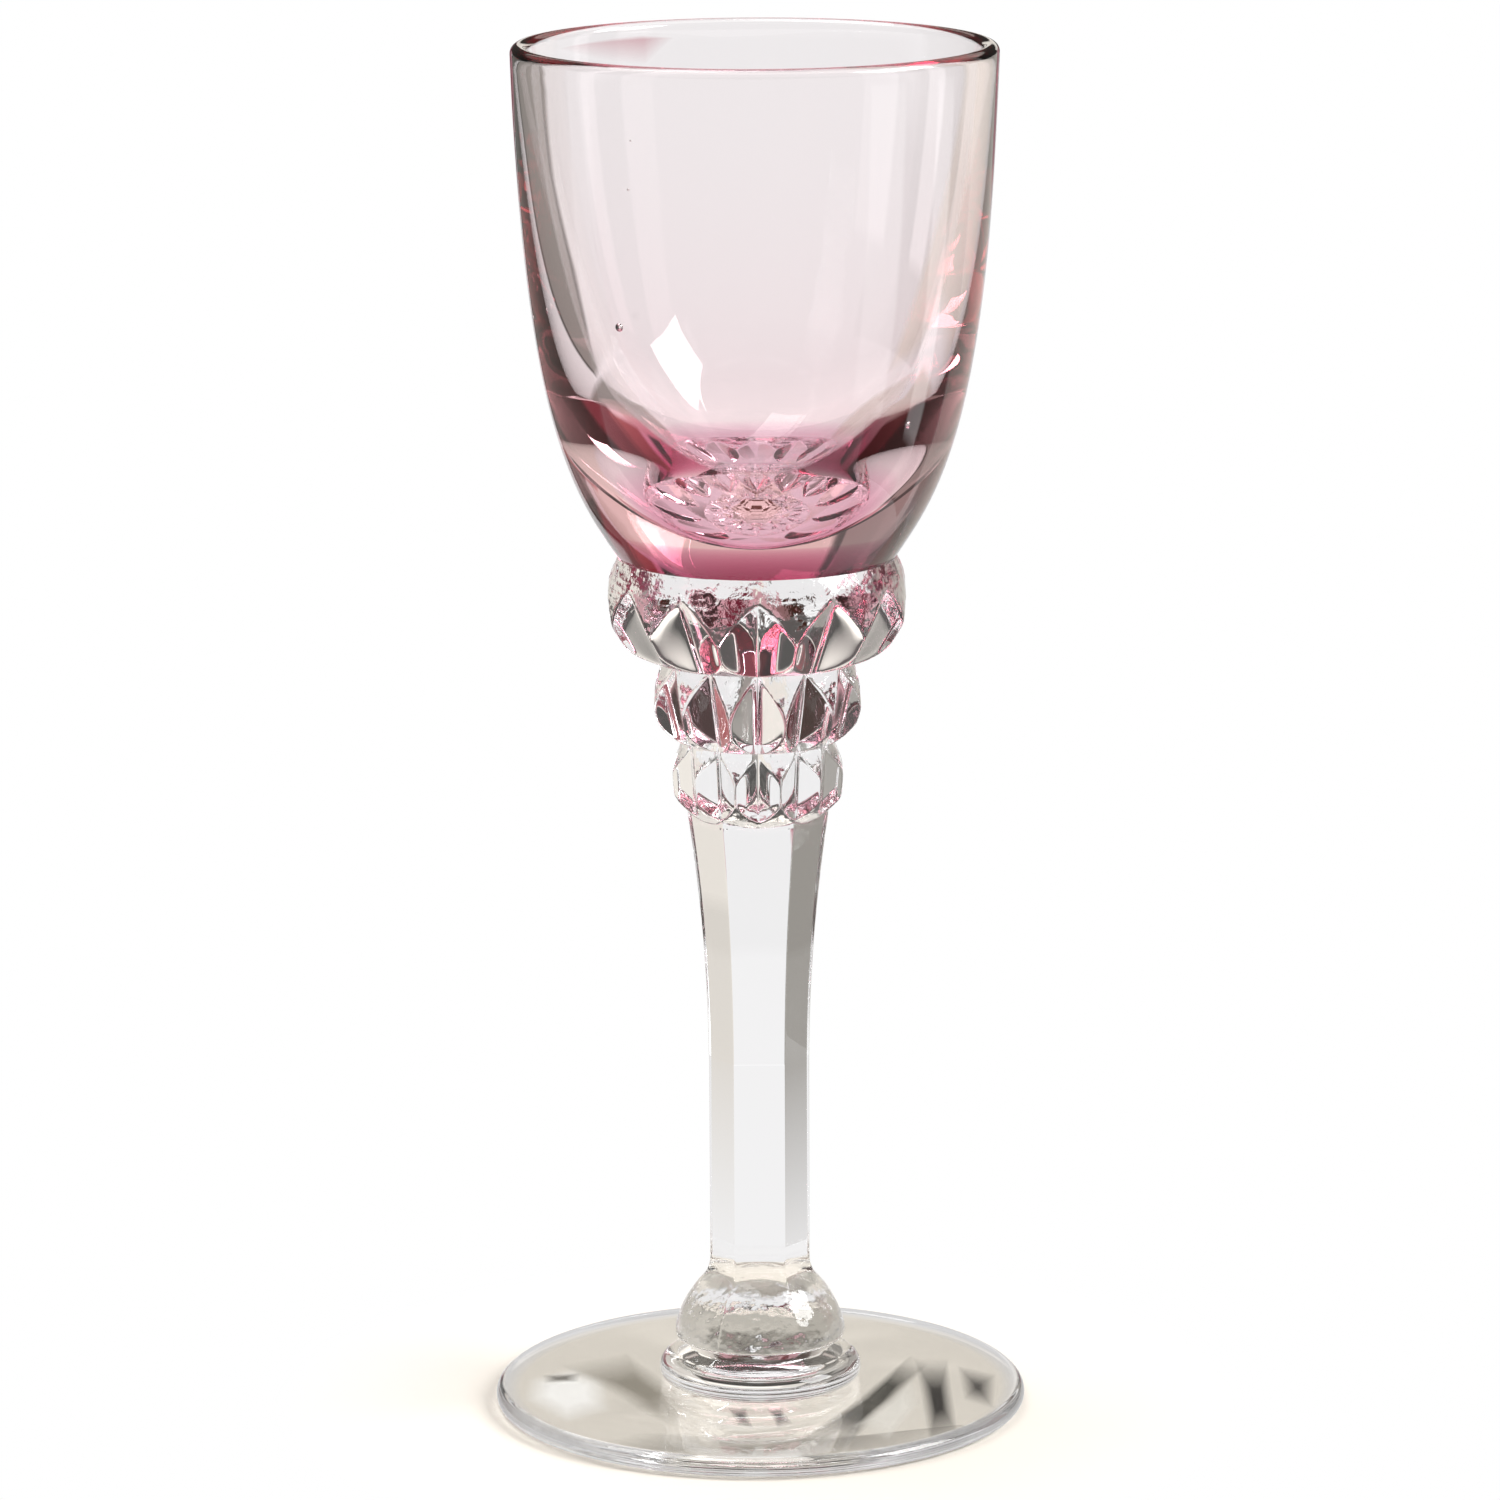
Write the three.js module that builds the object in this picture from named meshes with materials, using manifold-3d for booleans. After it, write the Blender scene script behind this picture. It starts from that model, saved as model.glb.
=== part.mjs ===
import * as THREE from 'three';
import { mergeVertices } from 'three/addons/utils/BufferGeometryUtils.js';
import Module from 'manifold-3d';

// Liqueur glass, sizes in millimetres
// The origin is the middle of the flat underside and +Z runs up the axis.
// One flat face of the six-sided shaft looks towards -Y.

// Foot disc
const FOOT_R = 24.35;
const FOOT_EDGE_T = 1.6;
const FOOT_RISE = 0.3; // the upper face climbs this much from edge to middle
const FOOT_EDGE_ROUND = 0.95; // radial width of the rounding above the widest line
const FOOT_UNDER_ROUND = 0.4; // radial width of the rounding below it
const FOOT_WIDEST_SHARE = 0.4; // height of the widest line within the edge

// Merese, the flattened bead between foot and bell
const MERESE_R = 9.27;
const MERESE_T = 3.1;
const MERESE_SEAT_R = 8.4; // flat disc fused to the foot
const MERESE_WIDEST_SHARE = 0.32; // height of the widest line within the bead
const MERESE_EDGE_ROUND = 1.6;
const MERESE_CROWN_FALL = 0.5; // slope of the top between neck and edge

// Bell, the spread lower end of the stem
const BELL_R = 7.8;
const BELL_NECK_R = 6.4; // flat disc fused to the merese
const BELL_LIP_RISE = 1.3; // from the merese up to the lip
const BELL_LIP_ROUND = 0.35;
const BELL_H = 6.0; // from the lip to the end of the dome
const BELL_FULLNESS = 0.36;

// Six-sided shaft, radii over the corners
const SHAFT_SIDES = 6;
const SHAFT_R = 4.62;
const SHAFT_TOP_R = 6.4;
const SHAFT_H = 42.6; // from the dome of the bell to the crown
const SHAFT_TAPER_SHARE = 0.56; // upper part of the shaft that widens
const SHAFT_FLARE = 1.0; // the corners run out by this much over the bell
const SHAFT_FLARE_H = 2.1;
const SHAFT_OVERLAP = 1.3; // the shaft continues inside bell and crown

// Crown of three beads, each cut by twelve upright V-grooves
// top: radius of the neck above the bead, belly: widest radius,
// drop: from the neck down to the belly,
// shoulder and under: fullness above and below the belly,
// grooveTop and grooveLow: depth line of the grooves at both ends of the bead,
// opening: half angle of the V in degrees.
const GROOVES = 12;
const LOW_BEAD = {
  height: 7.15, top: 7.0, belly: 8.15, drop: 3.95, shoulder: 0.05, under: 0.3,
  grooveTop: 6.97, grooveLow: 6.48, opening: 62.5,
};
const MID_BEAD = {
  height: 7.45, top: 8.55, belly: 9.68, drop: 4.65, shoulder: 0.3, under: 0.28,
  grooveTop: 8.53, grooveLow: 6.83, opening: 52.3,
};
const TOP_BEAD = {
  height: 9.4, top: 12.5, belly: 13.55, drop: 5.3, shoulder: 0.85, under: 0.48,
  grooveTop: 14.39, grooveLow: 9.46, opening: 61.7,
};
const CROWN_LOW_SHARE = 0.94; // lowest ring of the crown within the flat of the shaft

// Bowl, its lowest part solid
const BOWL_R = 21.7;
const BOWL_H = 46.1;
const BOWL_FLOOR_T = 4.3; // solid glass below the hollow
const LIP_T = 1.6;
const BOWL_SWELL_R = 3.5; // the wall leaves the crown in this direction
const BOWL_SWELL_H = 5.3;
const BOWL_BELLY_IN = 0.9; // the wall stays this much inside the rim radius
const BOWL_BELLY_H = 11.2;

// Hollow of the bowl, as two curves that meet where the wall turns in towards the floor
const HOLLOW_MID_IN = 5.4; // inside the inner radius of the lip
const HOLLOW_MID_H = 12.1; // above the floor
const HOLLOW_MID_TILT = 23.0; // slope of the wall there, in degrees from the axis
const HOLLOW_LIP_IN = 0.5; // the inner wall leaves the lip in this direction
const HOLLOW_LIP_DROP = 8.2;
const HOLLOW_WALL_LENGTH = 8.5; // how far the slope carries on up the wall
const HOLLOW_TURN_LENGTH = 5.0; // and down into the turn
const HOLLOW_FLOOR_SPREAD = 7.0; // half width of the level part of the floor

// Facets
const ROUND = 0.5523; // handle length of a quarter ellipse
const FINE_STEPS = 8; // points along each long curve
const COARSE_STEPS = 5; // points along each short curve
const BOWL_SEGMENTS = 60;
const DISC_SEGMENTS = 60;
const CROWN_SEGMENTS = 72;
const BELL_SEGMENTS = 48;

const wasm = await Module();
wasm.setup();

// Heights of the joints
const footTopZ = FOOT_EDGE_T + FOOT_RISE;
const mereseTopZ = footTopZ + MERESE_T;
const bellLipZ = mereseTopZ + BELL_LIP_RISE;
const bellTopZ = bellLipZ + BELL_H;
const crownLowZ = bellTopZ + SHAFT_H;
const midBeadLowZ = crownLowZ + LOW_BEAD.height;
const topBeadLowZ = midBeadLowZ + MID_BEAD.height;
const crownTopZ = topBeadLowZ + TOP_BEAD.height;
const rimZ = crownTopZ + BOWL_H;

// Joint radii shared by the neighbours
const crownJointR = TOP_BEAD.top;
const shaftFlatR = SHAFT_R * Math.cos(Math.PI / SHAFT_SIDES);
const shaftTopFlatR = SHAFT_TOP_R * Math.cos(Math.PI / SHAFT_SIDES);

// Curve from the current point to (r, z), bent towards the corner (cr, cz)
function bend(path, cr, cz, r, z, fullness = ROUND) {
  const { x, y } = path.currentPoint;
  path.bezierCurveTo(
    x + (cr - x) * fullness, y + (cz - y) * fullness,
    r + (cr - r) * fullness, z + (cz - z) * fullness,
    r, z,
  );
}

// Solid of revolution about Z from an outline that starts and ends on the axis
function turned(path, steps, segments, phiStart = 0) {
  const points = path.getPoints(steps);
  const solid = new THREE.LatheGeometry(points, segments, phiStart, 2 * Math.PI);
  solid.rotateX(Math.PI / 2);
  return solid;
}

function toManifold(geometry) {
  const bare = geometry.clone();
  bare.deleteAttribute('normal');
  bare.deleteAttribute('uv');
  const merged = mergeVertices(bare, 1e-4);
  const index = merged.index.array;
  const triangles = [];
  for (let i = 0; i < index.length; i += 3) {
    const [a, b, c] = [index[i], index[i + 1], index[i + 2]];
    if (a !== b && b !== c && c !== a) {
      triangles.push(a, b, c);
    }
  }
  return new wasm.Manifold(new wasm.Mesh({
    numProp: 3,
    vertProperties: new Float32Array(merged.attributes.position.array),
    triVerts: new Uint32Array(triangles),
  }));
}

function toGeometry(solid) {
  const mesh = solid.getMesh();
  const geometry = new THREE.BufferGeometry();
  geometry.setAttribute('position', new THREE.BufferAttribute(mesh.vertProperties, mesh.numProp));
  geometry.setIndex(new THREE.BufferAttribute(mesh.triVerts, 1));
  geometry.computeVertexNormals();
  return geometry;
}

function glass(name, geometry, color, roughness) {
  const material = new THREE.MeshStandardMaterial({ color, roughness, metalness: 0 });
  const mesh = new THREE.Mesh(geometry, material);
  mesh.name = name;
  return mesh;
}

function footGeometry() {
  const widestZ = FOOT_EDGE_T * FOOT_WIDEST_SHARE;
  const upperR = FOOT_R - FOOT_EDGE_ROUND;
  const path = new THREE.Path().moveTo(0, 0).lineTo(FOOT_R - FOOT_UNDER_ROUND, 0);
  bend(path, FOOT_R, 0, FOOT_R, widestZ);
  bend(path, FOOT_R, FOOT_EDGE_T, upperR, FOOT_EDGE_T);
  path.lineTo(MERESE_SEAT_R, footTopZ).lineTo(0, footTopZ);
  return turned(path, COARSE_STEPS, DISC_SEGMENTS);
}

function mereseGeometry() {
  const widestZ = footTopZ + MERESE_T * MERESE_WIDEST_SHARE;
  const shoulderZ = mereseTopZ - MERESE_CROWN_FALL;
  const shoulderR = MERESE_R - MERESE_EDGE_ROUND;
  const path = new THREE.Path().moveTo(0, footTopZ).lineTo(MERESE_SEAT_R, footTopZ);
  bend(path, MERESE_R, footTopZ, MERESE_R, widestZ);
  bend(path, MERESE_R, shoulderZ, shoulderR, shoulderZ);
  path.lineTo(BELL_NECK_R, mereseTopZ).lineTo(0, mereseTopZ);
  return turned(path, COARSE_STEPS, DISC_SEGMENTS);
}

function bellSolid() {
  const lipInnerR = BELL_R - BELL_LIP_ROUND;
  const domeR = shaftFlatR * CROWN_LOW_SHARE;
  const path = new THREE.Path().moveTo(0, mereseTopZ).lineTo(BELL_NECK_R, mereseTopZ);
  path.lineTo(lipInnerR, bellLipZ - BELL_LIP_ROUND);
  bend(path, BELL_R, bellLipZ - BELL_LIP_ROUND, BELL_R, bellLipZ);
  bend(path, BELL_R, bellTopZ, domeR, bellTopZ, BELL_FULLNESS);
  path.lineTo(0, bellTopZ);
  return toManifold(turned(path, COARSE_STEPS, BELL_SEGMENTS));
}

// Six flat faces with corners at 30, 90, 150 degrees and so on
function shaftSolid() {
  const flareZ = bellTopZ - SHAFT_FLARE_H / 2;
  const flareTopZ = flareZ + SHAFT_FLARE_H;
  const taperZ = crownLowZ - SHAFT_H * SHAFT_TAPER_SHARE;
  const flareR = SHAFT_R + SHAFT_FLARE;
  const path = new THREE.Path().moveTo(0, flareZ - SHAFT_OVERLAP / 2);
  path.lineTo(flareR, flareZ - SHAFT_OVERLAP / 2).lineTo(flareR, flareZ);
  bend(path, SHAFT_R, (flareZ + bellTopZ) / 2, SHAFT_R, flareTopZ);
  path.lineTo(SHAFT_R, taperZ);
  path.quadraticCurveTo(SHAFT_R, (taperZ + crownLowZ) / 2, SHAFT_TOP_R, crownLowZ);
  path.lineTo(SHAFT_TOP_R, crownLowZ + SHAFT_OVERLAP).lineTo(0, crownLowZ + SHAFT_OVERLAP);
  return toManifold(turned(path, FINE_STEPS, SHAFT_SIDES, Math.PI / SHAFT_SIDES));
}

// Adds one bead to the crown outline, upwards from its lower neck
function addBead(path, bead, lowZ) {
  const topZ = lowZ + bead.height;
  const bellyZ = topZ - bead.drop;
  bend(path, bead.belly, path.currentPoint.y, bead.belly, bellyZ, bead.under);
  path.bezierCurveTo(
    bead.belly, bellyZ + bead.drop / 2,
    bead.top + (bead.belly - bead.top) * bead.shoulder, topZ - bead.drop / 3,
    bead.top, topZ,
  );
}

// Upright V-groove in the plane of -Y, its depth line leaning with the bead
function grooveCutter(bead, lowZ) {
  const reach = bead.belly;
  const half = reach * Math.tan(THREE.MathUtils.degToRad(bead.opening));
  const wedge = new THREE.Shape();
  wedge.moveTo(0, 0).lineTo(-half, -reach).lineTo(half, -reach).closePath();
  const cutter = new THREE.ExtrudeGeometry(wedge, { depth: bead.height, bevelEnabled: false });
  const lean = (bead.grooveTop - bead.grooveLow) / bead.height;
  const shear = new THREE.Matrix4().set(
    1, 0, 0, 0,
    0, 1, -lean, -bead.grooveLow,
    0, 0, 1, lowZ,
    0, 0, 0, 1,
  );
  return toManifold(cutter.applyMatrix4(shear));
}

function crownSolid() {
  const path = new THREE.Path().moveTo(0, crownLowZ);
  path.lineTo(shaftTopFlatR * CROWN_LOW_SHARE, crownLowZ);
  const beads = [[LOW_BEAD, crownLowZ], [MID_BEAD, midBeadLowZ], [TOP_BEAD, topBeadLowZ]];
  for (const [bead, lowZ] of beads) {
    addBead(path, bead, lowZ);
  }
  path.lineTo(0, crownTopZ);
  let crown = toManifold(turned(path, COARSE_STEPS, CROWN_SEGMENTS));
  for (const [bead, lowZ] of beads) {
    const cutter = grooveCutter(bead, lowZ);
    for (let i = 0; i < GROOVES; i += 1) {
      crown = crown.subtract(cutter.rotate([0, 0, (360 / GROOVES) * i]));
    }
  }
  return crown;
}

function stemGeometry() {
  return toGeometry(crownSolid().add(shaftSolid()).add(bellSolid()));
}

function bowlGeometry() {
  const lipR = LIP_T / 2;
  const lipZ = rimZ - lipR;
  const innerR = BOWL_R - LIP_T;
  const floorZ = crownTopZ + BOWL_FLOOR_T;
  const midR = innerR - HOLLOW_MID_IN;
  const midZ = floorZ + HOLLOW_MID_H;
  const tilt = THREE.MathUtils.degToRad(HOLLOW_MID_TILT);
  const path = new THREE.Path().moveTo(0, crownTopZ).lineTo(crownJointR, crownTopZ);
  path.bezierCurveTo(
    crownJointR + BOWL_SWELL_R, crownTopZ + BOWL_SWELL_H,
    BOWL_R - BOWL_BELLY_IN, crownTopZ + BOWL_BELLY_H,
    BOWL_R, lipZ,
  );
  bend(path, BOWL_R, rimZ, BOWL_R - lipR, rimZ);
  bend(path, innerR, rimZ, innerR, lipZ);
  path.bezierCurveTo(
    innerR - HOLLOW_LIP_IN, lipZ - HOLLOW_LIP_DROP,
    midR + HOLLOW_WALL_LENGTH * Math.sin(tilt), midZ + HOLLOW_WALL_LENGTH * Math.cos(tilt),
    midR, midZ,
  );
  path.bezierCurveTo(
    midR - HOLLOW_TURN_LENGTH * Math.sin(tilt), midZ - HOLLOW_TURN_LENGTH * Math.cos(tilt),
    HOLLOW_FLOOR_SPREAD, floorZ,
    0, floorZ,
  );
  return turned(path, FINE_STEPS, BOWL_SEGMENTS);
}

const part = new THREE.Group();
part.name = 'liqueur_glass';
part.add(glass('bowl', bowlGeometry(), '#c98a9b', 0.03));
part.add(glass('stem', stemGeometry(), '#e4e6e2', 0.06));
part.add(glass('merese', mereseGeometry(), '#e4e6e2', 0.04));
part.add(glass('foot', footGeometry(), '#e4e6e2', 0.04));

export default part;
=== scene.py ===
import math

import bmesh
import bpy
import numpy as np
from mathutils import Matrix, Vector, noise


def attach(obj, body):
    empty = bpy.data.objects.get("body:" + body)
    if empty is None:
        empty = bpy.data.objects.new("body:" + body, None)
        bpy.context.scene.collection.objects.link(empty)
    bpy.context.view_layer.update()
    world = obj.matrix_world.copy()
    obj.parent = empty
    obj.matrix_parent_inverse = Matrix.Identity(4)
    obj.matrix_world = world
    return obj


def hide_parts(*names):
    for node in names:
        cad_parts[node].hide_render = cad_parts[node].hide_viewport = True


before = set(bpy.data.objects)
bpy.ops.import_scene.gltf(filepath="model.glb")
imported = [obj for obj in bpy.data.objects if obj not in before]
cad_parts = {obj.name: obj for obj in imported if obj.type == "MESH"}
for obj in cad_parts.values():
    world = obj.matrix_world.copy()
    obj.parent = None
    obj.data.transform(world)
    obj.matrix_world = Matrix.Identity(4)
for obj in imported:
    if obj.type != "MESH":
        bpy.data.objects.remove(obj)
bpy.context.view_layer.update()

# Sizes in millimetres and degrees, as in the CAD source; meshes are scaled to metres
MM = 0.001

FOOT_R = 24.35
FOOT_EDGE_T = 1.6
FOOT_TOP_Z = 1.9
FOOT_EDGE_ROUND = 0.95
FOOT_UNDER_ROUND = 0.4
FOOT_WIDEST_Z = 0.64

MERESE_R = 9.27
MERESE_SEAT_R = 8.4
MERESE_WIDEST_Z = 2.89
MERESE_EDGE_ROUND = 1.6
MERESE_SHOULDER_Z = 4.5
MERESE_TOP_Z = 5.0

BELL_R = 7.8
BELL_NECK_R = 6.4
BELL_LIP_Z = 6.3
BELL_LIP_ROUND = 0.35
BELL_TOP_Z = 12.3
BELL_TOP_R = 3.76
BELL_FULLNESS = 0.36

SHAFT_R = 4.62
SHAFT_TOP_R = 6.4
SHAFT_FLARE_R = 5.62
SHAFT_FLARE_Z = (11.25, 13.35)
SHAFT_TAPER_Z = 31.05

CROWN_LOW_Z = 54.9
CROWN_LOW_R = 5.2
CROWN_TOP_Z = 78.9
GROOVE_STEP = 30.0
BEADS = (
    dict(low=54.9, height=7.15, top=7.0, belly=8.15, drop=3.95, shoulder=0.05, under=0.3,
         groove_top=6.97, groove_low=6.48, opening=62.5),
    dict(low=62.05, height=7.45, top=8.55, belly=9.68, drop=4.65, shoulder=0.3, under=0.28,
         groove_top=8.53, groove_low=6.83, opening=52.3),
    dict(low=69.5, height=9.4, top=12.5, belly=13.55, drop=5.3, shoulder=0.85, under=0.48,
         groove_top=14.39, groove_low=9.46, opening=61.7),
)

BOWL_R = 21.7
RIM_Z = 125.0
LIP_T = 1.6
FLOOR_Z = 83.2
JOINT_R = 12.5
BOWL_HANDLES = ((16.0, 84.2), (20.8, 90.1))
HOLLOW_MID_R = 14.7
HOLLOW_MID_Z = 95.3
HOLLOW_MID_TILT = 23.0
HOLLOW_HANDLES = dict(lip=(0.5, 8.2), above=8.5, below=5.0, floor=7.0)

CORE_TOP_Z = 82.0
CORE_FLAT_R = 8.0
CORE_ROUND = 0.3
CORE_INSET = 0.03

ROUND = 0.5523
JOINT_GAP = 0.01
JOINT_TOLERANCE = 0.003
FLAT_NORMAL = 0.999
SHARP_ANGLE = 35.0
COLUMNS = dict(bowl=288, core=160, merese=192, foot=288)

# Widths over which the pressed faces run into each other, and where the hexagon counts
GROOVE_BOTTOM = 0.08
GROOVE_RIDGE = 0.14
GROOVE_LIP = 0.10
HEXAGON_CORNER = 0.10
HEXAGON_JOIN = 0.12
HEXAGON_MARGIN = 0.05
HEXAGON_Z = (BELL_LIP_Z + 3, CROWN_LOW_Z + 1.3)
# Half angle of a groove: off the crown, at least, and at most as a share of its half sector;
# LEAST_FALL keeps the groove's face finite far from its bottom line
PLAIN_EDGE = 6.0
LEAST_EDGE = 1.5
MOST_EDGE = 0.9
LEAST_FALL = 0.2

# Unevenness of the surfaces. Waves: height, number around the axis, phase, length along;
# free zones: where the waves start, and the length over which they grow to their height
BOWL_WAVES = ((0.03, 2, 0.7, 19.0), (0.015, 3, -1.1, -11.0), (0.008, 7, 0.0, 5.0))
BOWL_FREE_Z = (80, 12)
BOWL_FREE_RIM = (0, 8)
BOWL_FREE_R = (0, 8)
FOOT_WAVES = ((0.022, 5, 0.4, math.inf), (0.015, 9, 0.0, 3.0))
FOOT_FREE_R = (9, 4)
FOOT_FREE_RIM = (1.15, 3)
# Strength of the mould's texture, and how far from a groove it is full
MOULD_CROWN = 1.3
MOULD_BELL = 0.75
MOULD_REACH = 0.25
# Relief of the mould: scale, seed, height, height above the table where it starts
RELIEF = ((0.32, 3, 0.10, BELL_TOP_Z), (0.9, 1, 0.05, 0.0), (2.3, 2, 0.03, 0.0))
SEAM = dict(angle=330, width=0.7, relief=0.05, low=6.2, top=11.5)

# Air bubbles in the bowl: centre, radius
BUBBLES = (
    ((-11.6, -15.0, 102.0), 0.38),
    ((12.9, -11.6, 92.8), 0.30),
    ((-19.0, -2.5, 101.0), 0.24),
    ((-12.1, 13.4, 109.0), 0.13),
    ((-11.8, 14.6, 113.5), 0.10),
)

# Glass; densities are per metre
GLASS_IOR = 1.5
ROSE_TINT = (0.86, 0.10, 0.20)
ROSE_DENSITY = 20.0
CORE_TINT = (0.68, 0.03, 0.36)
CORE_DENSITY = 98.0
PRESSED_GRAIN = dict(scale=1400.0, detail=3.0, strength=0.5, distance=0.00008)


# Outlines

def cubic(p0, p1, p2, p3, n):
    """n points of a cubic curve, without its first one."""
    t = np.linspace(0, 1, n + 1)[1:, None]
    p0, p1, p2, p3 = (np.array(p, float) for p in (p0, p1, p2, p3))
    return (1 - t) ** 3 * p0 + 3 * (1 - t) ** 2 * t * p1 + 3 * (1 - t) * t ** 2 * p2 + t ** 3 * p3


def bend(start, corner, end, n, fullness=ROUND):
    """A curve from start to end, bent towards the corner."""
    s, c, e = (np.array(p, float) for p in (start, corner, end))
    return cubic(s, s + (c - s) * fullness, e + (c - e) * fullness, e, n)


def line(start, end, n):
    """n points on a straight line, without its first one."""
    t = np.linspace(0, 1, n + 1)[1:, None]
    return np.array(start, float) * (1 - t) + np.array(end, float) * t


# Meshes

def make_object(name, verts, faces, material):
    mesh = bpy.data.meshes.new(name)
    mesh.from_pydata([tuple(v) for v in np.asarray(verts) * MM], [], faces)
    mesh.validate()
    mesh.materials.append(material)
    mesh.polygons.foreach_set("use_smooth", [True] * len(mesh.polygons))
    mesh.update()
    return link_object(name, mesh)


def link_object(name, data):
    obj = bpy.data.objects.new(name, data)
    bpy.context.scene.collection.objects.link(obj)
    return obj


def ring_faces(rings, columns):
    """Faces of a closed skin: a pole, rings of vertices, a pole."""
    def at(i, j):
        return 1 + i * columns + j % columns
    last = 1 + rings * columns
    faces = [(0, at(0, j + 1), at(0, j)) for j in range(columns)]
    for i in range(rings - 1):
        faces += [(at(i, j), at(i, j + 1), at(i + 1, j + 1), at(i + 1, j))
                  for j in range(columns)]
    faces += [(last, at(rings - 1, j), at(rings - 1, j + 1)) for j in range(columns)]
    return faces


def around(phi, radius, z):
    """Points from arrays of shape (rings, columns); angle 0 faces the viewer."""
    return np.stack([radius * np.sin(phi), -radius * np.cos(phi), z], axis=-1).reshape(-1, 3)


def skin(phi, radius, z):
    """Vertices of a closed skin: a pole, the rings, a pole."""
    return np.concatenate([[[0, 0, z[0].mean()]], around(phi, radius, z), [[0, 0, z[-1].mean()]]])


def mark_joints(obj, levels):
    """Marks the flat joint discs, so that the fused glass has no surface there."""
    mesh = obj.data
    values = np.zeros(len(mesh.polygons), np.float32)
    for i, face in enumerate(mesh.polygons):
        for level in levels:
            near = abs(face.center.z / MM - level) < JOINT_TOLERANCE
            if near and abs(face.normal.z) > FLAT_NORMAL:
                values[i] = 1.0
    mesh.attributes.new("joint", "FLOAT", "FACE").data.foreach_set("value", values)


# Materials

class Nodes:
    """Short way to add and wire nodes in one node tree."""

    def __init__(self, tree):
        self.tree = tree

    def link(self, value, socket):
        if isinstance(value, (int, float)):
            socket.default_value = value
        else:
            self.tree.links.new(value, socket)

    def attribute(self, name):
        node = self.tree.nodes.new("ShaderNodeAttribute")
        node.attribute_name = name
        return node.outputs["Fac"]

    def place(self):
        return self.tree.nodes.new("ShaderNodeTexCoord").outputs["Object"]

    def math(self, operation, a, b):
        node = self.tree.nodes.new("ShaderNodeMath")
        node.operation = operation
        self.link(a, node.inputs[0])
        self.link(b, node.inputs[1])
        return node.outputs[0]

    def step(self, value, low, high):
        """0 below low, 1 above high, smooth between them."""
        node = self.tree.nodes.new("ShaderNodeMapRange")
        node.interpolation_type = "SMOOTHSTEP"
        node.inputs["From Min"].default_value = low
        node.inputs["From Max"].default_value = high
        self.link(value, node.inputs["Value"])
        return node.outputs["Result"]

    def mix(self, share, first, second):
        node = self.tree.nodes.new("ShaderNodeMixShader")
        self.link(share, node.inputs[0])
        self.link(first, node.inputs[1])
        self.link(second, node.inputs[2])
        return node.outputs[0]

    def seen(self):
        """1 for camera, glossy and transmitted rays."""
        path = self.tree.nodes.new("ShaderNodeLightPath").outputs
        bright = self.math("MAXIMUM", path["Is Camera Ray"], path["Is Glossy Ray"])
        return self.math("MAXIMUM", bright, path["Is Transmission Ray"])


def new_material(name):
    material = bpy.data.materials.new(name)
    material.use_nodes = True
    tree = material.node_tree
    return material, tree, tree.nodes["Principled BSDF"], tree.nodes["Material Output"]


def clear_body(name, ior, tint=None, density=0.0):
    """Clear material, with colour inside it where a tint is given."""
    material, tree, shader, output = new_material(name)
    shader.inputs["Base Color"].default_value = (1, 1, 1, 1)
    shader.inputs["Roughness"].default_value = 0.0
    shader.inputs["IOR"].default_value = ior
    shader.inputs["Transmission Weight"].default_value = 1.0
    if tint:
        absorption = tree.nodes.new("ShaderNodeVolumeAbsorption")
        absorption.inputs["Color"].default_value = (*tint, 1)
        absorption.inputs["Density"].default_value = density
        tree.links.new(absorption.outputs[0], output.inputs["Volume"])
    return material, tree, shader


def glass_material(name, tint=None, density=0.0, grain=None):
    """Glass without a surface at its joints; grain is the texture left by the mould."""
    material, tree, shader = clear_body(name, GLASS_IOR, tint, density)
    nodes = Nodes(tree)
    nodes.link(nodes.math("SUBTRACT", 1.0, nodes.attribute("joint")), shader.inputs["Alpha"])
    if grain:
        texture = tree.nodes.new("ShaderNodeTexNoise")
        texture.inputs["Scale"].default_value = grain["scale"]
        texture.inputs["Detail"].default_value = grain["detail"]
        nodes.link(nodes.place(), texture.inputs["Vector"])
        relief = tree.nodes.new("ShaderNodeBump")
        relief.inputs["Strength"].default_value = grain["strength"]
        relief.inputs["Distance"].default_value = grain["distance"]
        height = nodes.math("MULTIPLY", texture.outputs["Fac"], nodes.attribute("mould"))
        nodes.link(height, relief.inputs["Height"])
        nodes.link(relief.outputs["Normal"], shader.inputs["Normal"])
    return material


rose = glass_material("rose_glass", ROSE_TINT, ROSE_DENSITY)
# Deeper rose inside the bowl's own glass: no surface of its own, only colour
rose_core = clear_body("rose_core", 1.0, CORE_TINT, CORE_DENSITY)[0]
clear = glass_material("clear_glass")
pressed = glass_material("pressed_glass", grain=PRESSED_GRAIN)


# Turned pieces: bowl, merese and foot

def turned(name, outline, columns, material, wave=None):
    outline = np.asarray(outline, float)
    phi = np.linspace(0, 2 * math.pi, columns, endpoint=False)[None, :]
    phi = np.repeat(phi, len(outline), axis=0)
    radius = np.repeat(outline[:, :1], columns, axis=1)
    z = np.repeat(outline[:, 1:], columns, axis=1)
    if wave:
        radius, z = wave(phi, radius, z)
    return make_object(name, skin(phi, radius, z), ring_faces(len(outline), columns), material)


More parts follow.
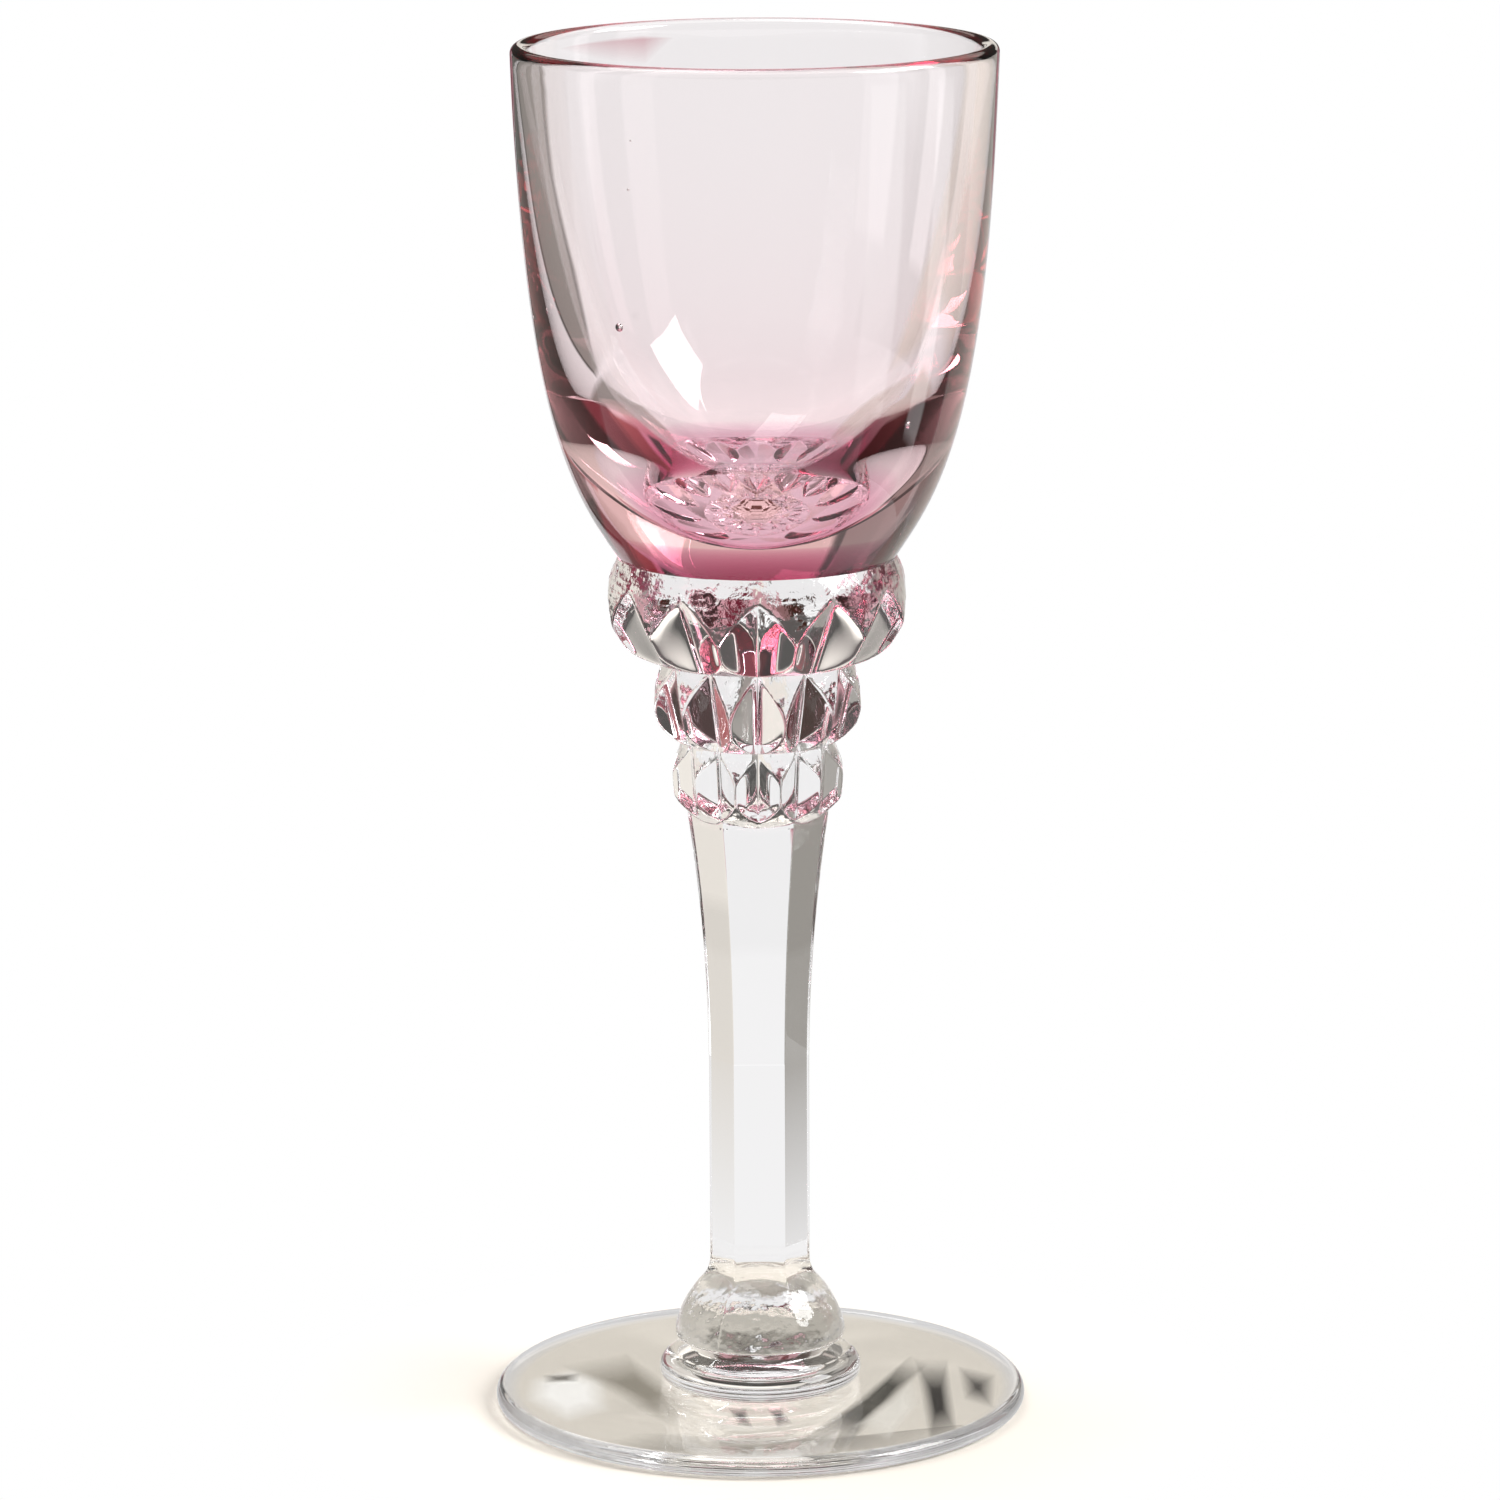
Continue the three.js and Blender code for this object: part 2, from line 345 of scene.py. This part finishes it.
def hollow_outline(n):
    """Inner wall of the bowl from the lip to the middle of its floor: two curves of n points."""
    tilt = math.radians(HOLLOW_MID_TILT)
    lip = np.array([BOWL_R - LIP_T, RIM_Z - LIP_T / 2])
    middle = np.array([HOLLOW_MID_R, HOLLOW_MID_Z])
    along = np.array([math.sin(tilt), math.cos(tilt)])
    return np.concatenate([
        cubic(lip, lip - HOLLOW_HANDLES["lip"], middle + along * HOLLOW_HANDLES["above"],
              middle, n),
        cubic(middle, middle - along * HOLLOW_HANDLES["below"],
              (HOLLOW_HANDLES["floor"], FLOOR_Z), (0, FLOOR_Z), n),
    ])


def bowl_outline():
    low = CROWN_TOP_Z + JOINT_GAP
    lip_z = RIM_Z - LIP_T / 2
    inner = BOWL_R - LIP_T
    rim = (BOWL_R - LIP_T / 2, RIM_Z)
    return np.concatenate([
        line((0, low), (JOINT_R, low), 12),
        cubic((JOINT_R, low), *BOWL_HANDLES, (BOWL_R, lip_z), 110),
        bend((BOWL_R, lip_z), (BOWL_R, RIM_Z), rim, 10),
        bend(rim, (inner, RIM_Z), (inner, lip_z), 10),
        hollow_outline(70)[:-1],
    ])


def ramp(value, start, length):
    """0 up to the start, 1 after the length."""
    return np.clip((value - start) / length, 0, 1)


def waves(table, phi, along):
    return sum(height * np.sin(count * phi + phase + along / length)
               for height, count, phase, length in table)


def bowl_wave(phi, radius, z):
    """Slow unevenness of blown glass, none at the joint, the rim and the floor's middle."""
    free = ramp(z, *BOWL_FREE_Z) * ramp(RIM_Z - z, *BOWL_FREE_RIM)
    return radius + waves(BOWL_WAVES, phi, z) * free * ramp(radius, *BOWL_FREE_R), z


def add_bubble(obj, centre, size):
    """Small air bubble in the glass: a round hole, its faces turned inwards."""
    bubble = bmesh.new()
    bmesh.ops.create_icosphere(bubble, subdivisions=3, radius=size * MM)
    bmesh.ops.translate(bubble, verts=bubble.verts, vec=Vector(centre) * MM)
    bmesh.ops.reverse_faces(bubble, faces=bubble.faces)
    for face in bubble.faces:
        face.smooth = True
    bubble.from_mesh(obj.data)
    bubble.to_mesh(obj.data)
    bubble.free()


def core_outline():
    """A deeper rose tint fills the lowest part of the base, just inside its wall."""
    wall = cubic((JOINT_R, CROWN_TOP_Z), *BOWL_HANDLES, (BOWL_R, RIM_Z), 200)
    wall = wall[(wall[:, 1] > CROWN_TOP_Z + 0.1) & (wall[:, 1] < CORE_TOP_Z)] - (CORE_INSET, 0)
    low = CROWN_TOP_Z + JOINT_GAP + CORE_INSET
    top = CORE_TOP_Z + CORE_ROUND
    return np.concatenate([
        line((0, low), (JOINT_R - CORE_INSET, low), 6), wall,
        bend(wall[-1], (wall[-1][0], top), (CORE_FLAT_R, top), 12),
        line((CORE_FLAT_R, top), (0, top), 6)[:-1],
    ])


def merese_outline():
    low, top = FOOT_TOP_Z + JOINT_GAP, MERESE_TOP_Z - JOINT_GAP
    widest = (MERESE_R, MERESE_WIDEST_Z)
    shoulder = (MERESE_R - MERESE_EDGE_ROUND, MERESE_SHOULDER_Z)
    return np.concatenate([
        line((0, low), (MERESE_SEAT_R, low), 10),
        bend((MERESE_SEAT_R, low), (MERESE_R, low), widest, 12),
        bend(widest, (MERESE_R, MERESE_SHOULDER_Z), shoulder, 16),
        line(shoulder, (BELL_NECK_R, top), 5),
        line((BELL_NECK_R, top), (0, top), 10)[:-1],
    ])


def foot_outline():
    under_r = FOOT_R - FOOT_UNDER_ROUND
    upper_r = FOOT_R - FOOT_EDGE_ROUND
    widest = (FOOT_R, FOOT_WIDEST_Z)
    return np.concatenate([
        line((0, 0), (under_r, 0), 30),
        bend((under_r, 0), (FOOT_R, 0), widest, 8),
        bend(widest, (FOOT_R, FOOT_EDGE_T), (upper_r, FOOT_EDGE_T), 10),
        line((upper_r, FOOT_EDGE_T), (MERESE_SEAT_R, FOOT_TOP_Z), 30),
        line((MERESE_SEAT_R, FOOT_TOP_Z), (0, FOOT_TOP_Z), 10)[:-1],
    ])


def foot_wave(phi, radius, z):
    """The upper face of the foot is slightly uneven, the underside is flat."""
    free = ramp(radius, *FOOT_FREE_R) * ramp(FOOT_R - radius, *FOOT_FREE_RIM)
    free = free * (z > FOOT_WIDEST_Z)
    return radius, z + waves(FOOT_WAVES, phi, radius) * free


# Stem: one pressed piece with bell, six-sided shaft and crown

HALF_STEP = math.radians(GROOVE_STEP / 2)
# Places of the columns: inside a groove's edge as shares of it, then out to the half step
IN_GROOVE = np.array([0, 0.05, 0.14, 0.32, 0.56, 0.8, 0.94, 1.0])
PAST_GROOVE = np.array([0.06, 0.2, 0.42, 0.66, 0.86, 0.96, 1.0])


def bead_outline(bead, start):
    """One bead of the crown, from the end of the one below it."""
    end_z = bead["low"] + bead["height"]
    belly = (bead["belly"], end_z - bead["drop"])
    shoulder_r = bead["top"] + (bead["belly"] - bead["top"]) * bead["shoulder"]
    return np.concatenate([
        bend(start, (bead["belly"], start[1]), belly, 56, bead["under"]),
        cubic(belly, (bead["belly"], belly[1] + bead["drop"] / 2),
              (shoulder_r, end_z - bead["drop"] / 3), (bead["top"], end_z), 48),
    ])


def stem_rings():
    """Rings from below: height, round radius (0 where only the hexagon counts), zone."""
    low, top = MERESE_TOP_Z, CROWN_TOP_Z
    lip_start_z = BELL_LIP_Z - BELL_LIP_ROUND
    lip_inner = (BELL_R - BELL_LIP_ROUND, lip_start_z)
    zones = [
        (line((0, low), (BELL_NECK_R, low), 10), "disc"),
        (line((BELL_NECK_R, low), lip_inner, 8), "bell"),
        (bend(lip_inner, (BELL_R, lip_start_z), (BELL_R, BELL_LIP_Z), 8), "bell"),
        (bend((BELL_R, BELL_LIP_Z), (BELL_R, BELL_TOP_Z), (BELL_TOP_R, BELL_TOP_Z), 60,
              BELL_FULLNESS), "bell"),
        (line((0, BELL_TOP_Z), (0, SHAFT_FLARE_Z[1]), 12), "shaft"),
        (line((0, SHAFT_FLARE_Z[1]), (0, SHAFT_TAPER_Z), 16), "shaft"),
        (line((0, SHAFT_TAPER_Z), (0, CROWN_LOW_Z), 70), "shaft"),
    ]
    start = (CROWN_LOW_R, CROWN_LOW_Z)
    for bead in BEADS:
        zones.append((bead_outline(bead, start), "crown"))
        start = (bead["top"], bead["low"] + bead["height"])
    zones.append((line((JOINT_R, top), (0, top), 12)[:-1], "disc"))
    return [(z, r, zone) for points, zone in zones for r, z in points]


def soft_min(a, b, width):
    return 0.5 * (a + b - np.sqrt((a - b) ** 2 + width ** 2))


def soft_max(a, b, width):
    return 0.5 * (a + b + np.sqrt((a - b) ** 2 + width ** 2))


def corner_radius(z):
    """Radius over the corners of the six-sided shaft at height z."""
    flare_low, flare_top = SHAFT_FLARE_Z
    if z < flare_top:
        mid = (flare_low + BELL_TOP_Z) / 2
        curve = bend((SHAFT_FLARE_R, flare_low), (SHAFT_R, mid), (SHAFT_R, flare_top), 60)
        return float(np.interp(z, curve[:, 1], curve[:, 0], left=SHAFT_FLARE_R))
    if z < SHAFT_TAPER_Z:
        return SHAFT_R
    t = min((z - SHAFT_TAPER_Z) / (CROWN_LOW_Z - SHAFT_TAPER_Z), 1.0)
    return SHAFT_R + (SHAFT_TOP_R - SHAFT_R) * t ** 2


def hexagon_radius(phi, z):
    """Radius of the six-sided shaft at angles phi and height z; one flat faces the viewer."""
    flat = corner_radius(z) * math.cos(math.pi / 6)
    local = (phi + math.pi / 6) % (math.pi / 3) - math.pi / 6
    other = np.pi / 3 - np.abs(local)
    return soft_min(flat / np.cos(local), flat / np.cos(other), HEXAGON_CORNER)


def groove_line(bead, z):
    """Radius of a V-groove's bottom at height z, and the slope of its two faces."""
    share = (z - bead["low"]) / bead["height"]
    depth = bead["groove_low"] + (bead["groove_top"] - bead["groove_low"]) * share
    return depth, 1 / math.tan(math.radians(bead["opening"]))


def groove_radius(bead, z, offset):
    """Radius of the V-groove's face at an angle (radians) from its depth line."""
    depth, slope = groove_line(bead, z)
    lateral = np.sqrt((offset * depth) ** 2 + GROOVE_BOTTOM ** 2) - GROOVE_BOTTOM
    angle = lateral / depth
    return depth / np.maximum(np.cos(angle) - slope * np.sin(angle), LEAST_FALL)


def groove_edge(bead, z, radius):
    """Angle (radians) from the depth line to where the groove leaves the bead."""
    depth, slope = groove_line(bead, z)
    ratio = min(depth / max(radius, 0.1), 1.0)
    edge = math.acos(ratio / math.hypot(1, slope)) - math.atan(slope)
    return min(max(edge, math.radians(LEAST_EDGE)), HALF_STEP * MOST_EDGE)


def stem_ring(z, round_r, zone):
    """Angles, radii and strength of the mould texture of one ring."""
    bead = next((b for b in BEADS if b["low"] <= z <= b["low"] + b["height"]), None)
    edge = groove_edge(bead, z, round_r) if zone == "crown" else math.radians(PLAIN_EDGE)
    offsets = np.concatenate([IN_GROOVE * edge, edge + PAST_GROOVE * (HALF_STEP - edge)])
    sector = np.concatenate([offsets, 2 * HALF_STEP - offsets[-2:0:-1]])
    sectors = int(360 / GROOVE_STEP)
    phi = np.concatenate([sector + 2 * HALF_STEP * k for k in range(sectors)])
    radius = np.full_like(phi, round_r)
    mould = np.full_like(phi, MOULD_BELL if zone == "bell" else 0.0)
    if zone == "crown":
        offset = np.tile(sector, sectors)
        cut = soft_min(groove_radius(bead, z, offset),
                       groove_radius(bead, z, 2 * HALF_STEP - offset), GROOVE_RIDGE)
        mould = MOULD_CROWN * ramp(cut - radius, 0, MOULD_REACH)
        radius = soft_min(radius, cut, GROOVE_LIP)
    if zone != "disc" and HEXAGON_Z[0] <= z <= HEXAGON_Z[1]:
        hexagon = hexagon_radius(phi, z)
        radius = hexagon if zone == "shaft" else soft_max(radius, hexagon, HEXAGON_JOIN)
        mould = mould * (radius > hexagon + HEXAGON_MARGIN)
    return phi, radius, mould


def smooth_noise(points, scale, seed):
    shift = Vector((seed * 13.7, seed * 7.3, seed * 3.1))
    return np.array([noise.noise(Vector(p) * scale + shift) for p in points])


def stem_object():
    rows = stem_rings()
    phi, radius, mould = (np.array(part) for part in zip(*(stem_ring(*row) for row in rows)))
    z = np.repeat(np.array([row[0] for row in rows])[:, None], phi.shape[1], axis=1)
    points = around(phi, radius, z)
    relief = sum(height * smooth_noise(points, scale, seed).reshape(z.shape) * (z > low)
                 for scale, seed, height, low in RELIEF)
    seam = np.exp(-((np.degrees(phi) - SEAM["angle"]) / SEAM["width"]) ** 2)
    seam = seam * (z > SEAM["low"]) * (z < SEAM["top"])
    radius = radius + mould * relief + SEAM["relief"] * seam
    obj = make_object("stem_glass", skin(phi, radius, z), ring_faces(*z.shape), pressed)
    values = np.concatenate([[0], mould.reshape(-1), [0]]).astype(np.float32)
    obj.data.attributes.new("mould", "FLOAT", "POINT").data.foreach_set("value", values)
    return obj


bowl = turned("bowl_glass", bowl_outline(), COLUMNS["bowl"], rose, bowl_wave)
core = turned("bowl_rose_core", core_outline(), COLUMNS["core"], rose_core)
for centre, size in BUBBLES:
    add_bubble(bowl, centre, size)
stem = stem_object()
merese = turned("merese_glass", merese_outline(), COLUMNS["merese"], clear)
foot = turned("foot_glass", foot_outline(), COLUMNS["foot"], clear, foot_wave)
mark_joints(bowl, [CROWN_TOP_Z + JOINT_GAP])
mark_joints(stem, [MERESE_TOP_Z, CROWN_TOP_Z])
mark_joints(merese, [FOOT_TOP_Z + JOINT_GAP, MERESE_TOP_Z - JOINT_GAP])
mark_joints(foot, [FOOT_TOP_Z])
for piece in (bowl, stem, merese, foot):
    piece.data.set_sharp_from_angle(angle=math.radians(SHARP_ANGLE))

for piece, node, slot in ((bowl, "bowl", "rose_glass"), (core, "bowl", "rose_glass"),
                          (stem, "stem", "clear_glass"), (merese, "merese", "clear_glass"),
                          (foot, "foot", "clear_glass")):
    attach(piece, "root")
    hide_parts(node)


# Stage, in metres; the cards and the patches are seen only in the glass

# The cards glow but light nothing: a painted room of light, highlights and shade that the glass
# reflects and shows through
TABLE_R = 0.125
TABLE_Z = -0.00025
TABLE_TONE = (0.88, 0.83, 0.76)
TABLE_ROUGHNESS = 0.8
TABLE_SPECULAR = 0.1
TABLE_FADE = (0.023, 0.045)
WORLD_TONE = (1.0, 0.97, 0.93)
WORLD_LEVEL = 0.5
LAMP_AIM = (0, 0, 0.07)
# Lamps: name, centre, size, power
LAMPS = (
    ("window_right", (0.909, -0.177, 0.748), (0.67, 0.58), 14.0),
    ("soft_top", (-0.4, 0.3, 1.5), (0.9, 0.9), 10.0),
)
CARD_EYE_Z = 0.085
CARD_ROWS = 20
WARM = (1.06, 1.0, 0.92)
# A card's columns, as shares of its width; the last ones carry the thin line
CARD_SHARES = np.array([0, *np.linspace(0.01, 0.97, 10), 0.985, 1.0, 1.0])
CARD_LINE_FROM = 0.98
LEFT_SIDE = ((-37, -42), (-31, -34.5), (-21, -22.5), (-15, -20.5), (-12, -16), (-7, -16),
             (-4, -22), (46, -22))


def warm(level):
    """Tone of the warm room at a level of white."""
    return [level * c for c in WARM]


# Cards: name, turn, level, tone and options, as card() takes them
CARDS = (
    ("card_back_left", (-80, -20), (-37, 46), warm(0.32), dict(side=LEFT_SIDE, line_tone=0.3)),
    ("card_back_left_low", (-80, -26), (-46, -34), warm(0.32), dict(foot=18, reach=0.1)),
    ("card_back_right", (16, 52), (-26, 1), warm(0.84), dict(foot=4)),
    ("card_back_right_low", (22, 52), (-44, -30), warm(0.72), dict(foot=16, reach=0.1)),
    ("card_back_dark", (-46, 46), (2, 19), warm(0.06), dict(reach=2.1)),
    ("card_back_glow", (-8, 22), (10, 14), warm(1.2), dict(reach=0.3, soft=1.0, foot=1.0)),
    ("card_back_high", (-50, 54), (19, 36), warm(0.78), dict(reach=2.3)),
    ("card_back_high_left", (-52, -21), (21, 36), warm(0.20), dict(reach=2.25)),
    ("card_back_high_right", (27, 36), (23, 35), warm(1.25), dict(reach=2.25)),
    ("card_right_low", (54, 112), (-50, -10), warm(0.22), {}),
    ("card_right_high", (62, 122), (22, 40), warm(0.38), {}),
    ("card_front", (128, 232), (0, 48), warm(0.05), {}),
    ("card_top", (-180, 180), (50, 84), warm(0.08), dict(reach=2.4)),
    # Dark red cards at the sides: painted shade that shows as the dark red flanks of the bowl's
    # base
    ("card_left_near", (-66, -54), (3, 30), (0.09, 0.022, 0.024), dict(reach=2.0)),
    ("card_left_far", (-130, -66), (0, 46), (0.025, 0.007, 0.008), dict(reach=2.0)),
    ("card_right_near", (51, 60), (2, 21), (0.50, 0.17, 0.17), dict(reach=2.0)),
    ("card_right_mid", (60, 76), (0, 22), (0.24, 0.04, 0.065), dict(reach=2.0)),
    ("card_right_far", (76, 128), (-1, 22), (0.035, 0.005, 0.007), dict(reach=2.0)),
    ("card_back_middle", (-15, 15), (-24, -5), (0.89, 0.885, 0.89),
     dict(reach=2.45, soft=3.0, foot=6.0)),
)
# Bright cards that light nothing and show only as painted highlight streaks in the glass
STREAKS = (
    ("card_streak_wide", (106, 124), (-26, -6), (1.9, 1.9, 1.9), dict(reach=0.7)),
    ("card_streak_thin", (74, 84), (-26, -6), (2.1, 2.1, 2.1), dict(reach=0.7)),
)
# Small dark and red cards behind the crown, painted shade seen through it as dark and red patches:
# turn, level, tone; each nearer than the last
SPOTS = (
    ((-19.0, -2.0), (-6.0, 2.0), (0.60, 0.32, 0.36)),
    ((12.0, 20.0), (-7.0, 3.0), (0.60, 0.34, 0.37)),
    ((-6.0, -3.2), (-5.2, 0.5), (0.03, 0.015, 0.015)),
    ((-13.2, -10.6), (-7.0, 2.0), (0.13, 0.012, 0.025)),
    ((4.6, 9.0), (-5.2, 1.0), (0.04, 0.016, 0.010)),
    ((9.4, 12.6), (-4.0, 1.5), (0.25, 0.13, 0.13)),
    ((-8.2, -6.4), (-2.0, 1.0), (0.05, 0.02, 0.018)),
)
SPOT_REACH = 1.95
SPOT_STEP = 0.01
SPOT_SOFT = 0.8

# Light and shade that the glass throws on the table: corners in mm, tone, softness.
# Each lies a little above the last, all of them between the table and the foot.
PATCH_Z = -0.22
PATCH_STEP = 0.01
RING = np.array([(math.sin(a), math.cos(a))
                 for a in np.linspace(0, 2 * math.pi, 48, endpoint=False)])
PATCHES = (
    (124.5 * RING, (0.89, 0.885, 0.89), 0.003),
    (23.0 * RING, (1.0, 0.93, 0.82), 0.04),
    (((-6.5, 8.5), (6.5, 8.5), (6.5, 22.0), (-6.5, 22.0)), (0.50, 0.47, 0.41), 0.08),
    (((-7, -15.5), (8, -16), (16, -13), (9, -21), (-4, -22.5), (-12, -19)),
     (0.50, 0.46, 0.40), 0.5),
    (((-5.0, 1.5), (5.0, 1.5), (6.0, -4.2), (-6.0, -4.2)), (0.14, 0.03, 0.012), 0.12),
    (((-20.4, 0.6), (-17.4, 3.2), (-15.2, 0.5), (-14.8, -6.5), (-17.6, -9.0), (-20.6, -4.0)),
     (1.35, 1.32, 1.26), 0.4),
    (((-19.6, 2.6), (-17.2, 2.9), (-17.4, 1.1), (-19.4, 1.0)), (0.30, 0.28, 0.25), 0.6),
    (((-15.9, 3.1), (-12, 5.3), (-7.2, -6), (-9.2, -9)), (0.42, 0.38, 0.31), 0.6),
    (((5.2, -14.2), (9.2, -5.5), (12.9, 4.0), (14.0, 2.0), (11.4, -6.5), (8.3, -15.2)),
     (0.10, 0.095, 0.08), 0.45),
    (((9.2, -12.0), (13.6, -1.5), (13.9, -7.0), (11.6, -15.0)), (1.1, 1.05, 0.95), 0.4),
    (((15.0, 2.6), (17.0, 2.6), (17.2, -12), (15.5, -14)), (0.06, 0.055, 0.05), 0.6),
    (((19.0, 2.2), (21.0, 0.7), (20.7, -5.2), (19.2, -3.6)), (0.12, 0.11, 0.10), 0.8),
    (((-2.5, -9.0), (-1.5, -9.0), (-1.1, -12.4), (-1.9, -11.9)), (0.05, 0.045, 0.05), 0.8),
    (((1.0, -9.0), (1.8, -9.0), (2.4, -11.6), (1.6, -12.4)), (0.05, 0.045, 0.05), 0.8),
)


def table_object():
    """Round white table; away from the foot it turns into the plain white background."""
    material, tree, shader, output = new_material("table_white")
    shader.inputs["Base Color"].default_value = (*TABLE_TONE, 1)
    shader.inputs["Roughness"].default_value = TABLE_ROUGHNESS
    shader.inputs["Specular IOR Level"].default_value = TABLE_SPECULAR
    plain = tree.nodes.new("ShaderNodeEmission")
    plain.inputs["Color"].default_value = (1, 1, 1, 1)
    nodes = Nodes(tree)
    distance = tree.nodes.new("ShaderNodeVectorMath")
    distance.operation = "LENGTH"
    nodes.link(nodes.place(), distance.inputs[0])
    share = nodes.step(distance.outputs["Value"], *TABLE_FADE)
    share = nodes.math("MULTIPLY", share, nodes.seen())
    nodes.link(nodes.mix(share, shader.outputs[0], plain.outputs[0]), output.inputs["Surface"])
    bpy.ops.mesh.primitive_circle_add(vertices=96, radius=TABLE_R, fill_type="NGON",
                                      location=(0, 0, TABLE_Z))
    table = bpy.context.object
    table.name = "table"
    table.data.materials.append(material)
    return table


def area_light(name, centre, size, power):
    lamp = bpy.data.lights.new(name, "AREA")
    lamp.shape = "RECTANGLE"
    lamp.size, lamp.size_y = size
    lamp.energy = power
    obj = link_object(name, lamp)
    obj.location = centre
    aim = Vector(LAMP_AIM) - Vector(centre)
    obj.rotation_euler = aim.to_track_quat("-Z", "Y").to_euler()
    return obj


def glowing(name, verts, faces, cover, shade, tone):
    """Stage piece of one tone, darker by its shade, that fades out where its cover does."""
    material, tree, shader, output = new_material(name)
    tree.nodes.remove(shader)
    glow = tree.nodes.new("ShaderNodeEmission")
    glow.inputs["Color"].default_value = (*tone, 1)
    clear_rim = tree.nodes.new("ShaderNodeBsdfTransparent")
    nodes = Nodes(tree)
    nodes.link(nodes.attribute("shade"), glow.inputs["Strength"])
    surface = nodes.mix(nodes.attribute("cover"), clear_rim.outputs[0], glow.outputs[0])
    nodes.link(surface, output.inputs["Surface"])
    material.cycles.emission_sampling = "NONE"
    mesh = bpy.data.meshes.new(name)
    mesh.from_pydata(verts, [], faces)
    mesh.attributes.new("cover", "FLOAT", "POINT").data.foreach_set("value", cover)
    mesh.attributes.new("shade", "FLOAT", "POINT").data.foreach_set("value", shade)
    mesh.materials.append(material)
    obj = link_object(name, mesh)
    obj.visible_camera = False
    obj.visible_diffuse = False
    obj.visible_shadow = False
    return obj


def card(name, turn, level, tone, reach=2.2, soft=2.0, foot=2.0, side=None, line_tone=1.0):
    """Curved card around the glass; its rim fades out.

    turn: degrees from +Y towards +X; level: degrees up from the height CARD_EYE_Z;
    reach: metres from there; soft, foot: degrees over which the rim and the lower rim
    fade; side: (level, turn) points of a shaped right side; line_tone: share of the
    tone in a thin line along that side.
    """
    rows = np.array([level[0] - foot, *np.linspace(*level, CARD_ROWS), level[1] + soft])
    shade = np.where(CARD_SHARES > CARD_LINE_FROM, line_tone, 1.0)
    verts, cover, shades = [], [], []
    for j, up in enumerate(rows):
        right = turn[1] if side is None else np.interp(up, *zip(*side))
        columns = turn[0] + (right - turn[0]) * CARD_SHARES
        columns[0] -= soft
        columns[-1] += soft
        flat = reach * math.cos(math.radians(up))
        for i, angle in enumerate(np.radians(columns)):
            verts.append((flat * math.sin(angle), flat * math.cos(angle),
                          CARD_EYE_Z + reach * math.sin(math.radians(up))))
            inner = 0 < i < len(columns) - 1 and 0 < j < len(rows) - 1
            cover.append(1.0 if inner else 0.0)
            shades.append(shade[i])
    n = len(CARD_SHARES)
    faces = [(j * n + i, j * n + i + 1, (j + 1) * n + i + 1, (j + 1) * n + i)
             for j in range(len(rows) - 1) for i in range(n - 1)]
    return glowing(name, verts, faces, cover, shades, tone)


def table_patch(name, corners, tone, level, soft):
    """Flat patch at a level in mm; its rim fades over a share (soft) of its size."""
    corners = np.array(corners, float)
    middle = corners.mean(axis=0)
    n = len(corners)
    inner = middle + (corners - middle) * (1 - soft)
    outer = middle + (corners - middle) * (1 + soft)
    points = np.concatenate([[middle], inner, outer])
    verts = [(x * MM, y * MM, level * MM) for x, y in points]
    cover = [1.0] * (n + 1) + [0.0] * n
    faces = [(0, 1 + i, 1 + (i + 1) % n) for i in range(n)]
    faces += [(1 + i, 1 + n + i, 1 + n + (i + 1) % n, 1 + (i + 1) % n) for i in range(n)]
    return glowing(name, verts, faces, cover, [1.0] * len(verts), tone)


def make_world():
    """Plain white for all that is seen; a softer level for the light on the table."""
    world = bpy.data.worlds.new("studio")
    bpy.context.scene.world = world
    world.use_nodes = True
    tree = world.node_tree
    nodes = Nodes(tree)
    soft = tree.nodes["Background"]
    soft.inputs["Color"].default_value = (*WORLD_TONE, 1)
    soft.inputs["Strength"].default_value = WORLD_LEVEL
    white = tree.nodes.new("ShaderNodeBackground")
    white.inputs["Color"].default_value = (1, 1, 1, 1)
    white.inputs["Strength"].default_value = 1.0
    background = nodes.mix(nodes.seen(), soft.outputs[0], white.outputs[0])
    nodes.link(background, tree.nodes["World Output"].inputs["Surface"])


make_world()
stage = [table_object()]
stage += [card(name, turn, level, tone, **options) for name, turn, level, tone, options in CARDS]
stage += [card(f"card_spot_{i}", turn, level, tone, reach=SPOT_REACH - SPOT_STEP * i,
               soft=SPOT_SOFT, foot=SPOT_SOFT) for i, (turn, level, tone) in enumerate(SPOTS)]
stage += [card(name, turn, level, tone, **options) for name, turn, level, tone, options in STREAKS]
stage += [table_patch(f"light_on_table_{i}", corners, tone, PATCH_Z + PATCH_STEP * i, soft)
          for i, (corners, tone, soft) in enumerate(PATCHES)]
stage += [area_light(*lamp) for lamp in LAMPS]

# Camera at the photo's place
CAMERA_AT = (-0.0007, -0.6, 0.1906)
TILT = 12.194
ROLL = -0.264
LENS = 162.785
SENSOR = 36.0
CLIP = (0.01, 50.0)
BOUNCES = 32
GLOSSY_BOUNCES = 24
camera = link_object("camera", bpy.data.cameras.new("camera"))
camera.data.sensor_width = SENSOR
camera.data.lens = LENS
camera.data.clip_start, camera.data.clip_end = CLIP
camera.matrix_world = (Matrix.Translation(CAMERA_AT)
                       @ Matrix.Rotation(math.radians(90 - TILT), 4, "X")
                       @ Matrix.Rotation(math.radians(ROLL), 4, "Z"))
scene = bpy.context.scene
scene.camera = camera
scene.view_settings.view_transform = "Standard"
scene.cycles.max_bounces = BOUNCES
scene.cycles.transmission_bounces = BOUNCES
scene.cycles.glossy_bounces = GLOSSY_BOUNCES
scene.cycles.transparent_max_bounces = BOUNCES
